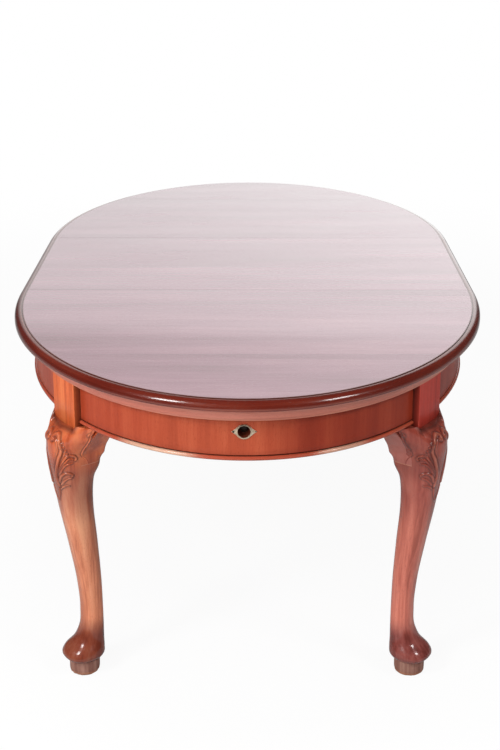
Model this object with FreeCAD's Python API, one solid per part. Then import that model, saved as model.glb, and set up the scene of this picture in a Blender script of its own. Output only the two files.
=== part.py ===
import FreeCAD, Part
import math
import os
from FreeCAD import Matrix, Vector

# Extending dining table with two D-shaped ends, one loose leaf and a winding screw.
# The origin is on the floor under the middle of the leaf, +Z is up and the winder end lies towards -Y.

# Whole table
table_height = 737.0
leaf_width = 483.0
half_width = 524.0
end_reach = 698.0
joint_gap = 0.4
overrun = 60.0

# Top board and its edge: a flat field, a small step, a thumb moulding and an upright arris
board_thickness = 20.0
edge_projection = 18.0
arris_height = 4.0
step_width = 3.5
step_depth = 1.5

# Cove moulding under the edge of the top
cove_height = 29.5
cove_fillet = 4.0
cove_foot = 4.5
cove_top_inset = -6.0
cove_bottom_inset = 10.0
moulding_steps = 3

# Aprons, which follow the curve of the top, and the bead under them
apron_inset = 26.0
apron_thickness = 22.0
apron_depth = 118.0
bead_height = 8.0
bead_proud = 4.0

# Legs: an upright block between the aprons, a cabriole below it and a turned disc under the foot
leg_place = 42.6
block_width = 88.0
block_proud = 10.0
block_depth = 68.0
block_drop = 11.0
knee_width = 92.0
leg_sweep = 40.0
disc_diameter = 66.0
disc_height = 36.0
foot_set_back = 14.0

# Knee ears, glued to the sides of the leg under the apron
ear_reach = 68.0
ear_drop = 109.0
ear_toe = 6.0
ear_lip = 8.0
ear_back = 35.0
ear_recess = 12.0
ear_front = 8.0
wing_reach = 53.0
wing_drop = 84.0
wing_toe = 2.0

# Runners: three pairs with tongues in grooves, all under the top
runner_tip_share = 0.769
runner_past_joint = 16.2
runner_width = 32.0
runner_height = 60.0
runner_leg_gap = 3.0
runner_play = 0.5
tongue_depth = 10.0
tongue_height = 16.0
seat_gap = 0.3
slide_gap = 0.4

# Cross rails under the runners
rail_set_back = 24.0
rail_thickness = 26.0

# Glue blocks in the angle between the aprons and the top
glue_block_length = 60.0
glue_block_size = 24.0

# Winding screw, its bearing and the tube with the nut
screw_below_top = 78.0
screw_off_middle = -4.0
screw_diameter = 22.0
screw_spare = 202.0
journal_diameter = 18.0
collar_diameter = 24.0
collar_thickness = 8.0
drive_size = 12.0
drive_length = 13.0
running_fit = 0.05
end_play = 0.4
bearing_block_thickness = 25.0
iron_plate = 12.0
plate_width = 76.0
plate_height = 44.0
block_margin = 10.0
block_notch = 27.0
tube_diameter = 34.0
tube_wall = 3.0
tube_block_thickness = 40.0
nut_across_corners = 40.0
nut_length = 36.0
nut_stand_off = 6.0
tube_way = 2.0

# Winder hole and its brass escutcheon
winder_hole_diameter = 25.0
escutcheon_diameter = 31.0
escutcheon_width = 50.0
escutcheon_thickness = 2.5
escutcheon_seat = 1.0
escutcheon_ear = 9.0

# Brass pins and wood screws: diameters of shank and head, length, height of the head
brass_pin = (2.0, 4.0, 14.0, 1.0)
long_screw = (5.0, 10.0, 72.0, 3.0)
plate_screw = (5.0, 10.0, 26.0, 3.0)

# Heights and places that follow from the sizes above
board_bottom = table_height - board_thickness
apron_bottom = board_bottom - apron_depth
cove_bottom = board_bottom - cove_height
block_bottom = apron_bottom - block_drop
joint_y = leaf_width / 2 + joint_gap
bead_inset = apron_inset - bead_proud
inner_inset = apron_inset + apron_thickness
runner_top = board_bottom - seat_gap
runner_bottom = runner_top - runner_height
rail_top = runner_bottom - slide_gap
runner_tip = (end_reach - inner_inset) * runner_tip_share
runner_length = runner_tip + 2 * joint_y + runner_past_joint
screw_length = nut_stand_off + 2 * leaf_width + nut_length + screw_spare
screw_z = table_height - screw_below_top
up = Vector(0, 0, 1)
along = Vector(0, 1, 0)
across = Vector(1, 0, 0)
origin = Vector(0, 0, 0)


def to_rear(shape):
    return shape.mirror(origin, along)


def to_right(shape):
    return shape.mirror(origin, across)


def box_between(low, high):
    size = high - low
    return Part.makeBox(size.x, size.y, size.z, low)


def oval_arc(z):
    # Edge of the flat field of the winder end: half an oval from the right end of the joint to the left
    unit = Part.Arc(Vector(1, 0, 0), Vector(0, -1, 0), Vector(-1, 0, 0)).toShape()
    stretch = Matrix()
    stretch.scale(half_width, end_reach, 1)
    arc = unit.transformGeometry(stretch)
    arc.translate(Vector(0, -joint_y, z))
    return arc


def swept_round(outline):
    # Carries an outline, drawn at the right end of the joint, round the oval
    sweep = Part.BRepOffsetAPI.MakePipeShell(Part.Wire([oval_arc(0)]))
    sweep.setBiNormalMode(up)
    sweep.add(outline)
    sweep.build()
    sweep.makeSolid()
    return sweep.shape()


def at_joint(inset, z, y):
    return Vector(half_width - inset, y, z)


def quarter_round(centre_inset, centre_z, run, rise, y):
    # Points of a quarter turn of an oval, from level with its centre up to above it
    points = []
    for index in range(moulding_steps + 1):
        turn = math.pi / 2 * index / moulding_steps
        points.append(at_joint(centre_inset + run * math.cos(turn), centre_z + rise * math.sin(turn), y))
    return points


def edge_outline(y):
    # Thumb between the arris and the small step, on the edge of the board
    rise = board_thickness - arris_height - step_depth
    run = edge_projection - step_width
    corners = [
        at_joint(step_width, table_height - step_depth, y),
        at_joint(step_width, board_bottom, y),
        at_joint(-edge_projection, board_bottom, y),
    ]
    curve = quarter_round(-step_width, board_bottom + arris_height, -run, rise, y)
    return Part.makePolygon(curve + corners + curve[:1])


def cove_outline(y):
    # Hollow between the fillet under the top and the foot of the moulding
    run = cove_bottom_inset - cove_top_inset
    rise = cove_height - cove_fillet - cove_foot
    corners = [
        at_joint(cove_top_inset, board_bottom, y),
        at_joint(apron_inset, board_bottom, y),
        at_joint(apron_inset, cove_bottom, y),
        at_joint(cove_bottom_inset, cove_bottom, y),
    ]
    curve = quarter_round(cove_top_inset, cove_bottom + cove_foot, run, rise, y)
    return Part.makePolygon(curve + corners + curve[:1])


def bead_outline(y):
    # Nosed bead under the apron, standing a little proud of it
    front = bead_inset + bead_proud
    corners = [
        (front, apron_bottom),
        (bead_inset, apron_bottom + bead_height / 2),
        (front, apron_bottom + bead_height),
        (inner_inset, apron_bottom + bead_height),
        (inner_inset, apron_bottom),
        (front, apron_bottom),
    ]
    return Part.makePolygon([at_joint(inset, z, y) for inset, z in corners])


def band(outer, inner, low, high):
    # Upright band round the end between two insets
    corners = [(outer, low), (inner, low), (inner, high), (outer, high), (outer, low)]
    return swept_round(Part.makePolygon([at_joint(inset, z, -joint_y) for inset, z in corners]))


def beyond(inset):
    # Everything outside a line set in from the edge of the flat field, from floor to top
    return band(-overrun, inset, 0, table_height)


def end_top():
    arc = oval_arc(board_bottom)
    joint_line = Part.makeLine(arc.Vertexes[-1].Point, arc.Vertexes[0].Point)
    field = Part.Face(Part.Wire([arc, joint_line])).extrude(up * board_thickness)
    return field.fuse(swept_round(edge_outline(-joint_y))).removeSplitter()


def apron_ring():
    return band(apron_inset, inner_inset, apron_bottom + bead_height, board_bottom)


def leg_frame():
    # Point on the bead's outline where the left leg stands, and the outline's outward direction there
    place = math.radians(leg_place)
    side = half_width - bead_inset
    front = end_reach - bead_inset
    point = Vector(-side * math.cos(place), -joint_y - front * math.sin(place), 0)
    outward = Vector(-math.cos(place) / side, -math.sin(place) / front, 0)
    outward.normalize()
    return point, outward


def to_leg(shape):
    # Leg pieces are drawn with X outward from the bead's outline and Y along it
    point, outward = leg_frame()
    turned = shape.copy()
    turned.rotate(origin, up, math.degrees(math.atan2(outward.y, outward.x)))
    turned.translate(point)
    return turned


def block_box(low, high, outer):
    low_corner = Vector(block_proud - block_depth, -block_width / 2, low)
    return to_leg(box_between(low_corner, Vector(outer, block_width / 2, high)))


# Cabriole, from the disc up to the block: shares of its height, of the sweep outward from the bead's
# outline, and of half the knee's width, outward and along the apron
cabriole_shares = [
    (0.000, -0.300, 0.837, 0.837),
    (0.015, -0.288, 0.965, 0.965),
    (0.036, -0.360, 0.930, 0.930),
    (0.070, -0.635, 0.715, 0.715),
    (0.116, -0.825, 0.576, 0.576),
    (0.200, -0.885, 0.525, 0.525),
    (0.317, -0.808, 0.554, 0.554),
    (0.496, -0.513, 0.661, 0.661),
    (0.676, -0.168, 0.804, 0.804),
    (0.770, -0.085, 0.970, 0.955),
    (0.862, -0.030, 1.091, 0.950),
    (0.915, -0.070, 1.115, 0.950),
    (0.955, -0.240, 1.010, 0.950),
    (1.000, -0.575, 0.761, 0.950),
]
section_sides = 12
section_power = 2.3


def rounded_ring(centre, deep, wide, z):
    # Points of a section between an oval and a square
    points = []
    for index in range(section_sides):
        turn = 2 * math.pi * (index + 1 / 2) / section_sides
        cosine = math.cos(turn)
        sine = math.sin(turn)
        x = centre + deep * math.copysign(abs(cosine) ** (2 / section_power), cosine)
        y = wide * math.copysign(abs(sine) ** (2 / section_power), sine)
        points.append(Vector(x, y, z))
    return points


def flat_face(corners):
    return Part.Face(Part.makePolygon(corners + corners[:1]))


def skinned(rings):
    # Solid with flat three-cornered faces from ring to ring of points
    faces = [flat_face(rings[0]), flat_face(rings[-1])]
    for lower, upper in zip(rings, rings[1:]):
        for index in range(len(lower)):
            faces.append(flat_face([lower[index - 1], lower[index], upper[index]]))
            faces.append(flat_face([lower[index - 1], upper[index], upper[index - 1]]))
    return Part.makeSolid(Part.Shell(faces))


def cabriole():
    height = block_bottom - disc_height
    half = knee_width / 2
    rings = []
    for height_share, sweep_share, deep_share, wide_share in cabriole_shares:
        z = disc_height + height * height_share
        rings.append(rounded_ring(leg_sweep * sweep_share, half * deep_share, half * wide_share, z))
    return to_leg(skinned(rings))


def leg():
    block = block_box(block_bottom, cove_bottom, block_proud)
    tenon = block_box(cove_bottom, board_bottom, block_proud)
    tenon = tenon.cut(beyond(apron_inset))
    post = block_box(apron_bottom - ear_drop, block_bottom, ear_front)
    return block.fuse([tenon, post, cabriole()]).removeSplitter()


def ear_outline(reach, drop, toe, bow_share, rise_share):
    # Bracket outline beside the leg: down from the apron, then in a slow curve back to the leg
    side = block_width / 2
    top = apron_bottom
    bottom = apron_bottom - drop
    lip = ear_lip
    middle = Vector(0, side + toe + (reach - toe) * bow_share, bottom + (drop - lip) * rise_share)
    tip = Vector(0, side + reach, top - lip)
    foot = Vector(0, side + toe, bottom)
    lines = [
        Part.makeLine(Vector(0, side, top), Vector(0, side + reach, top)),
        Part.makeLine(Vector(0, side + reach, top), tip),
        Part.Arc(tip, middle, foot).toShape(),
        Part.makeLine(foot, Vector(0, side, bottom)),
        Part.makeLine(Vector(0, side, bottom), Vector(0, side, top)),
    ]
    return Part.Face(Part.Wire(lines))


def knee_ears():
    ear_bow_share = 0.48
    ear_rise_share = 0.47
    wing_bow_share = 0.2
    wing_rise_share = 0.4
    back = ear_outline(ear_reach, ear_drop, ear_toe, ear_bow_share, ear_rise_share)
    back.translate(across * -ear_back)
    back = back.extrude(across * (ear_back - ear_recess))
    wing = ear_outline(wing_reach, wing_drop, wing_toe, wing_bow_share, wing_rise_share)
    wing.translate(across * -ear_recess)
    wing = wing.extrude(across * (ear_recess + ear_front))
    ear = back.fuse(wing)
    left = Part.makeCompound([to_leg(ear), to_leg(ear.mirror(origin, along))])
    return Part.makeCompound([left, to_right(left)])


def foot_discs():
    disc = Part.makeCylinder(disc_diameter / 2, disc_height)
    disc.translate(across * -foot_set_back)
    left = to_leg(disc)
    return Part.makeCompound([left, to_right(left)])


def block_ways():
    # Room that the two leg blocks take out of the aprons
    left = block_box(apron_bottom - overrun, board_bottom + overrun, overrun)
    return left.fuse(to_right(left))


def split_ring(ring):
    # The ring cut at the leg blocks: front, left and right pieces
    pieces = ring.cut(block_ways()).Solids
    pieces = sorted(pieces, key=lambda piece: piece.CenterOfMass.x)
    return pieces[1], pieces[0], pieces[2]


def block_seat():
    # Flat on the crown of the apron's inner face, as wide as the block that stands against it
    low = Vector(screw_off_middle - block_half, apron_back_y, 0)
    return box_between(low, Vector(screw_off_middle + block_half, 0, table_height))


def plate_seat():
    # Flat on the crown of the apron's outer face, under the escutcheon
    low = Vector(-half_width, escutcheon_back_y - overrun, 0)
    return box_between(low, Vector(half_width, escutcheon_back_y, table_height))


def cross_rail(way):
    low = Vector(-half_width, -joint_y - rail_set_back - rail_thickness, apron_bottom)
    high = Vector(half_width, -joint_y - rail_set_back, rail_top)
    rail = box_between(low, high).cut(beyond(inner_inset))
    start = Vector(screw_off_middle, low.y - overrun, screw_z)
    notch = Part.makeCylinder(tube_diameter / 2 + way, rail_thickness + 2 * overrun, start, along)
    return rail.cut(notch)


def glue_blocks():
    # Small blocks rubbed into the angle under the top, as shares of the half turn round the end
    place_shares = [0.1, 0.333, 0.417, 0.583, 0.667, 0.9]
    side = half_width - inner_inset
    front = end_reach - inner_inset
    outside = beyond(inner_inset)
    solids = []
    for place_share in place_shares:
        turn = math.pi * place_share
        outward = Vector(math.cos(turn) / side, -math.sin(turn) / front, 0)
        low = Vector(-glue_block_size, -glue_block_length / 2, board_bottom - glue_block_size)
        block = box_between(low, Vector(overrun, glue_block_length / 2, board_bottom))
        block.rotate(origin, up, math.degrees(math.atan2(outward.y, outward.x)))
        block.translate(Vector(side * math.cos(turn), -joint_y - front * math.sin(turn), 0))
        solids.append(block.cut(outside))
    return Part.makeCompound(solids)


def runner_spread():
    # The outer runners pass just inside the leg blocks
    point, outward = leg_frame()
    reach = (block_depth - block_proud) * abs(outward.x) + block_width / 2 * abs(outward.y)
    return abs(point.x) - reach - runner_leg_gap


def runner(outer_x, start_y, groove, tongue):
    # One left-hand runner, with its groove towards the middle and its tongue outward
    low = Vector(-outer_x, start_y, runner_bottom)
    high = Vector(-outer_x + runner_width, start_y + runner_length, runner_top)
    solid = box_between(low, high)
    middle = (runner_top + runner_bottom) / 2
    if groove:
        deep = tongue_depth + runner_play
        tall = tongue_height / 2 + runner_play
        groove_low = Vector(high.x - deep, low.y - overrun, middle - tall)
        solid = solid.cut(box_between(groove_low, Vector(high.x + overrun, high.y + overrun, middle + tall)))
    if tongue:
        tongue_low = Vector(low.x - tongue_depth, low.y, middle - tongue_height / 2)
        solid = solid.fuse(box_between(tongue_low, Vector(low.x, high.y, middle + tongue_height / 2)))
    return solid


def wood_screw(place, direction, size):
    # Driven screw of a size (shank, head, length, head height), six-sided and without its thread;
    # place is under the head
    shank_diameter, head_diameter, length, head_height = size
    sides = 6
    shank = Part.Face(Part.makePolygon(circle_points(place, direction, shank_diameter / 2, sides)))
    head = Part.Face(Part.makePolygon(circle_points(place, direction, head_diameter / 2, sides)))
    return shank.extrude(direction * length).fuse(head.extrude(direction * -head_height))


def circle_points(centre, axis, radius, sides):
    # Closed ring of points round an axis that lies along Y or Z
    points = []
    other = up if axis.z == 0 else along
    for index in range(sides + 1):
        turn = 2 * math.pi * index / sides
        points.append(centre + across * (radius * math.cos(turn)) + other * (radius * math.sin(turn)))
    return points


def wood_screws(places, direction, size):
    return [wood_screw(place, direction, size) for place in places]


def runner_screw_places(outer_x, tip_y, towards):
    # Two screws near the fixed end of a runner, up through it into the top
    place_shares = [0.08, 0.38]
    x = -outer_x + (runner_width - tongue_depth) / 2
    return [Vector(x, tip_y + towards * runner_length * share, runner_bottom) for share in place_shares]


def escutcheon_plate():
    # Ring with an ear on each side, its corners cut back to a blunt point
    point_share = 0.33
    start = Vector(screw_off_middle, escutcheon_y, screw_z)
    ring = Part.makeCylinder(escutcheon_diameter / 2, escutcheon_thickness, start, along)
    tip = escutcheon_width / 2
    ear = escutcheon_ear / 2
    point = ear * point_share
    corner = tip - ear + point
    places = [(tip, -point), (tip, point), (corner, ear), (-corner, ear)]
    places += [(-tip, point), (-tip, -point), (-corner, -ear), (corner, -ear)]
    points = [start + Vector(x, 0, z) for x, z in places]
    ears = Part.Face(Part.makePolygon(points + points[:1])).extrude(along * escutcheon_thickness)
    return ring.fuse(ears).cut(winder_way())


def winder_way():
    start = Vector(screw_off_middle, escutcheon_y - overrun, screw_z)
    length = apron_back_y - escutcheon_y + overrun + bearing_block_thickness / 2
    return Part.makeCylinder(winder_hole_diameter / 2, length, start, along)


def escutcheon_pin_places():
    reach = escutcheon_width / 2 - escutcheon_ear / 2
    return [Vector(screw_off_middle + side, escutcheon_y, screw_z) for side in (-reach, reach)]


# Places along the screw, from the winder end
block_half = plate_width / 2 + block_margin
escutcheon_back_y = -joint_y - end_reach + apron_inset + escutcheon_seat
escutcheon_y = escutcheon_back_y - escutcheon_thickness
apron_back_y = -joint_y - end_reach + inner_inset
bearing_y = apron_back_y + bearing_block_thickness
collar_y = bearing_y - end_play - collar_thickness
thread_y = bearing_y + iron_plate + end_play
nut_y = thread_y + nut_stand_off + leaf_width
tube_y = nut_y + nut_length
tube_end_y = -apron_back_y - tube_block_thickness


def side_screw_places(y):
    # A screw on each side of the screw's axis, through a plate
    reach = plate_width / 2 - long_screw[1]
    return [Vector(screw_off_middle + side, y, screw_z) for side in (-reach, reach)]


def gear_block(y, thickness):
    # Wooden block under the top, across the screw's axis
    low = Vector(screw_off_middle - block_half, y, screw_z - block_half)
    return box_between(low, Vector(screw_off_middle + block_half, y + thickness, board_bottom))


def bearing_block():
    # Notched from below to pass over the end of the screw
    half = block_notch / 2
    low = Vector(screw_off_middle - half, apron_back_y, 0)
    notch = box_between(low, Vector(screw_off_middle + half, bearing_y, screw_z + half))
    return gear_block(apron_back_y, bearing_block_thickness).cut(notch)


def iron_flange(y, bore_diameter):
    # Plate across the screw's axis
    low = Vector(screw_off_middle - plate_width / 2, y, screw_z - plate_height / 2)
    plate = Part.makeBox(plate_width, iron_plate, plate_height, low)
    return plate.cut(Part.makeCylinder(bore_diameter / 2, iron_plate, Vector(screw_off_middle, y, screw_z), along))


def screw_bearing():
    return iron_flange(bearing_y, journal_diameter + 2 * running_fit)


def winding_screw():
    # Square drive end, journal and the threaded length, shown plain, its shoulder against the bearing
    start = Vector(screw_off_middle, collar_y, screw_z)
    half = drive_size / 2
    corner = start - Vector(half, drive_length, half)
    drive = Part.makeBox(drive_size, drive_length, drive_size, corner)
    journal = Part.makeCylinder(journal_diameter / 2, thread_y - collar_y, start, along)
    thread_start = Vector(screw_off_middle, thread_y, screw_z)
    thread = Part.makeCylinder(screw_diameter / 2, screw_length, thread_start, along)
    return drive.fuse([journal, thread]).removeSplitter()


def screw_collar():
    # Eight-sided collar pinned on the journal in front of the bearing
    start = Vector(screw_off_middle, collar_y, screw_z)
    sides = 8
    ring = Part.Face(Part.makePolygon(circle_points(start, along, collar_diameter / 2, sides)))
    return ring.extrude(along * collar_thickness).cut(
        Part.makeCylinder(journal_diameter / 2, collar_thickness, start, along)
    )


def screw_tube():
    start = Vector(screw_off_middle, tube_y, screw_z)
    length = tube_end_y - tube_y
    tube = Part.makeCylinder(tube_diameter / 2, length, start, along)
    return tube.cut(Part.makeCylinder(tube_diameter / 2 - tube_wall, length, start, along))


def tube_nut():
    # Six-sided nut brazed to the end of the tube
    centre = Vector(screw_off_middle, nut_y, screw_z)
    sides = 6
    nut = Part.Face(Part.makePolygon(circle_points(centre, along, nut_across_corners / 2, sides)))
    bore = Part.makeCylinder(screw_diameter / 2 + running_fit, nut_length, centre, along)
    return nut.extrude(along * nut_length).cut(bore)


def tube_flange():
    return iron_flange(tube_end_y - iron_plate, tube_diameter)


def leaf_board():
    # Flat field with the same moulded edge as the ends on its two short sides
    low = Vector(-half_width, -leaf_width / 2, board_bottom)
    field = box_between(low, Vector(half_width, leaf_width / 2, table_height))
    edge = Part.Face(edge_outline(-leaf_width / 2)).extrude(along * leaf_width)
    return field.fuse([edge, to_right(edge)]).removeSplitter()


def leaf_moulding():
    # Right cove strip under the leaf's edge
    return Part.Face(cove_outline(-leaf_width / 2)).extrude(along * leaf_width)


def save(name, shape):
    shape.exportStep("parts/" + name + ".step")


os.makedirs("parts", exist_ok=True)

# Runners: the outer pair belongs to the winder end, the inner pair to the far end
outer_x = runner_spread()
middle_x = outer_x - runner_width - runner_play
inner_x = middle_x - runner_width - runner_play
front_tip = -joint_y - runner_tip
rear_tip = -front_tip
outer_places = runner_screw_places(outer_x, front_tip, 1)
inner_places = runner_screw_places(inner_x, rear_tip, -1)
outer_runner = runner(outer_x, front_tip, True, False)
middle_runner = runner(middle_x, -runner_length / 2, True, True)
inner_runner = runner(inner_x, rear_tip - runner_length, False, True)
save("left_outer_runner", outer_runner)
save("right_outer_runner", to_right(outer_runner))
save("left_middle_runner", middle_runner)
save("right_middle_runner", to_right(middle_runner))
save("left_inner_runner", inner_runner)
save("right_inner_runner", to_right(inner_runner))

outer_screws = Part.makeCompound(wood_screws(outer_places, up, long_screw))
inner_screws = Part.makeCompound(wood_screws(inner_places, up, long_screw))
save("outer_runner_screws", Part.makeCompound([outer_screws, to_right(outer_screws)]))
save("inner_runner_screws", Part.makeCompound([inner_screws, to_right(inner_screws)]))

# Tops
board = end_top()
save("front_top", board)
save("rear_top", to_rear(board))

# Aprons, beads and cove mouldings
front_apron, left_apron, right_apron = split_ring(apron_ring())
cove = swept_round(cove_outline(-joint_y))
beads = Part.makeCompound(list(split_ring(swept_round(bead_outline(-joint_y)))))
front_apron = front_apron.cut(block_seat())
save("front_apron", front_apron.cut([plate_seat(), winder_way()]))
save("front_left_apron", left_apron)
save("front_right_apron", right_apron)
save("front_beads", beads)
save("front_cove_moulding", cove)
save("rear_apron", to_rear(front_apron))
save("rear_left_apron", to_rear(left_apron))
save("rear_right_apron", to_rear(right_apron))
save("rear_beads", to_rear(beads))
save("rear_cove_moulding", to_rear(cove))

# Legs, ears and discs at the four corners
left_leg = leg()
save("front_left_leg", left_leg)
save("front_right_leg", to_right(left_leg))
save("rear_left_leg", to_rear(left_leg))
save("rear_right_leg", to_right(to_rear(left_leg)))
for piece, solids in (("knee_ears", knee_ears()), ("foot_discs", foot_discs())):
    save("front_" + piece, solids)
    save("rear_" + piece, to_rear(solids))

# Cross rails and glue blocks
blocks = glue_blocks()
save("front_cross_rail", cross_rail(tube_way + (nut_across_corners - tube_diameter) / 2))
save("rear_cross_rail", to_rear(cross_rail(seat_gap)))
save("front_glue_blocks", blocks)
save("rear_glue_blocks", to_rear(blocks))

# Winder hole fitting and the screw gear
pins = wood_screws(escutcheon_pin_places(), along, brass_pin)
save("escutcheon", escutcheon_plate().cut(pins))
save("escutcheon_pins", Part.makeCompound(pins))
save("bearing_block", bearing_block())
screws = wood_screws(side_screw_places(bearing_y + iron_plate), -along, plate_screw)
save("screw_bearing", screw_bearing().cut(screws))
save("bearing_screws", Part.makeCompound(screws))
save("winding_screw", winding_screw())
save("screw_collar", screw_collar())
save("screw_tube", screw_tube())
save("tube_nut", tube_nut())
save("tube_block", gear_block(tube_end_y, tube_block_thickness))
screws = wood_screws(side_screw_places(tube_end_y - iron_plate), along, plate_screw)
save("tube_flange", tube_flange().cut(screws))
save("flange_screws", Part.makeCompound(screws))

# Loose leaf
right_strip = leaf_moulding()
save("leaf", leaf_board())
save("leaf_left_moulding", to_right(right_strip))
save("leaf_right_moulding", right_strip)
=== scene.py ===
from math import atan2, ceil, cos, hypot, inf, pi, radians, sin

import bmesh
import bpy
import numpy as np
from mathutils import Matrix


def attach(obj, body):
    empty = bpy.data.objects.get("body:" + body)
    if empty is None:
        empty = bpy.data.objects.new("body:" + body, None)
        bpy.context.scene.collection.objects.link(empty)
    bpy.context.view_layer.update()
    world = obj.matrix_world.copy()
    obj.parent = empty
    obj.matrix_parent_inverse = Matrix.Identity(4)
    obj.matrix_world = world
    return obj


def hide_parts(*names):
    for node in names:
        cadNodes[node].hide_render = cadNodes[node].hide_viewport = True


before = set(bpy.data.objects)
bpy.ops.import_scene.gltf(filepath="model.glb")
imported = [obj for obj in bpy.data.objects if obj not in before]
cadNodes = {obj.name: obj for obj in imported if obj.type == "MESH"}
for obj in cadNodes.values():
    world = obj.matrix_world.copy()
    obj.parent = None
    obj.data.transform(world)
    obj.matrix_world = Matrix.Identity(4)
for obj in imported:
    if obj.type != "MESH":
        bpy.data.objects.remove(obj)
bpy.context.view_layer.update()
scene = bpy.context.scene
print("frame loaded:", len(cadNodes), "nodes")


# shader tools

class Signal:  # one shader socket, so that masks add and multiply as they are written
    def __init__(self, paint, socket):
        self.paint, self.socket = paint, socket

    def maths(self, operation, first, second=0.0, clamp=False):
        settings = {"operation": operation, "use_clamp": clamp}
        return self.paint.node("Math", settings, {0: first, 1: second})

    def __add__(self, other):
        return self.maths("ADD", self, other)

    def __sub__(self, other):
        return self.maths("SUBTRACT", self, other)

    def __rsub__(self, other):
        return self.maths("SUBTRACT", other, self)

    def __mul__(self, other):
        return self.maths("MULTIPLY", self, other)

    def __abs__(self):
        return self.maths("ABSOLUTE", self)

    def clamped(self):
        return self.maths("ADD", self, 0.0, True)

    def between(self, low, high):  # 0 at low and 1 at high, soft at both ends
        settings = {"interpolation_type": "SMOOTHSTEP"}
        return self.paint.node("MapRange", settings, {0: self, 1: low, 2: high})

    def output(self, name):  # another output of the same node
        return Signal(self.paint, self.socket.node.outputs[name])


class Paint:  # a material or a world whose nodes are written as expressions
    def __init__(self, name, blocks=bpy.data.materials):
        self.block = blocks.new(name)
        self.block.use_nodes = True
        self.tree = self.block.node_tree
        self.tree.nodes.clear()

    def node(self, kind, settings=None, sockets=None, output=0):
        made = self.tree.nodes.new("ShaderNode" + kind)
        for key, value in (settings or {}).items():
            if key == "stops":
                self.setStops(made.color_ramp, value)
            else:
                setattr(made, key, value)
        for key, value in (sockets or {}).items():
            self.feed(made.inputs[key], value)
        return Signal(self, made.outputs[output]) if len(made.outputs) else None

    def setStops(self, ramp, stops):
        while len(ramp.elements) < len(stops):
            ramp.elements.new(0.5)
        for element, (place, colour) in zip(ramp.elements, stops):
            element.position, element.color = place, (*colour, 1.0)

    def feed(self, socket, value):
        if isinstance(value, Signal):
            self.tree.links.new(value.socket, socket)
        elif socket.type == "RGBA" and len(value) == 3:
            socket.default_value = (*value, 1.0)
        else:
            socket.default_value = value

    def mix(self, factor, first, second, blend="MIX"):
        settings = {"data_type": "RGBA", "blend_type": blend}
        return self.node("Mix", settings, {0: factor, 6: first, 7: second}, 2)

    def scaled(self, vector, factors):
        return self.node("VectorMath", {"operation": "MULTIPLY"}, {0: vector, 1: factors})

    def moved(self, vector, offset):
        return self.node("VectorMath", {"operation": "ADD"}, {0: vector, 1: offset})

    def noise(self, vector, detail=3.0, roughness=0.55):
        sockets = {"Vector": vector, "Scale": 1.0, "Detail": detail, "Roughness": roughness}
        return self.node("TexNoise", {}, sockets)

    def parts(self, vector):
        split = self.node("SeparateXYZ", {}, {0: vector})
        return {axis: split.output(axis) for axis in "XYZ"}

    def attribute(self, name, output="Fac"):
        return self.node("Attribute", {"attribute_name": name}, {}, output)

    def finish(self, shader, output="OutputMaterial"):
        self.node(output, {}, {0: shader})
        return self.block


# wood finishes

mahogany = {
    "stripe": 24.0, "fibre": 170.0, "contrast": 1.0, "pores": 0.35, "dirt": (0.06, 0.012, 0.007),
    "worn": (0.62, 0.26, 0.14), "roughness": 0.3, "coat": 0.5, "coatRoughness": 0.09,
    "specular": 0.35, "bump": 0.25, "along": None, "coatIor": 1.5, "tones": (),
}


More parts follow.
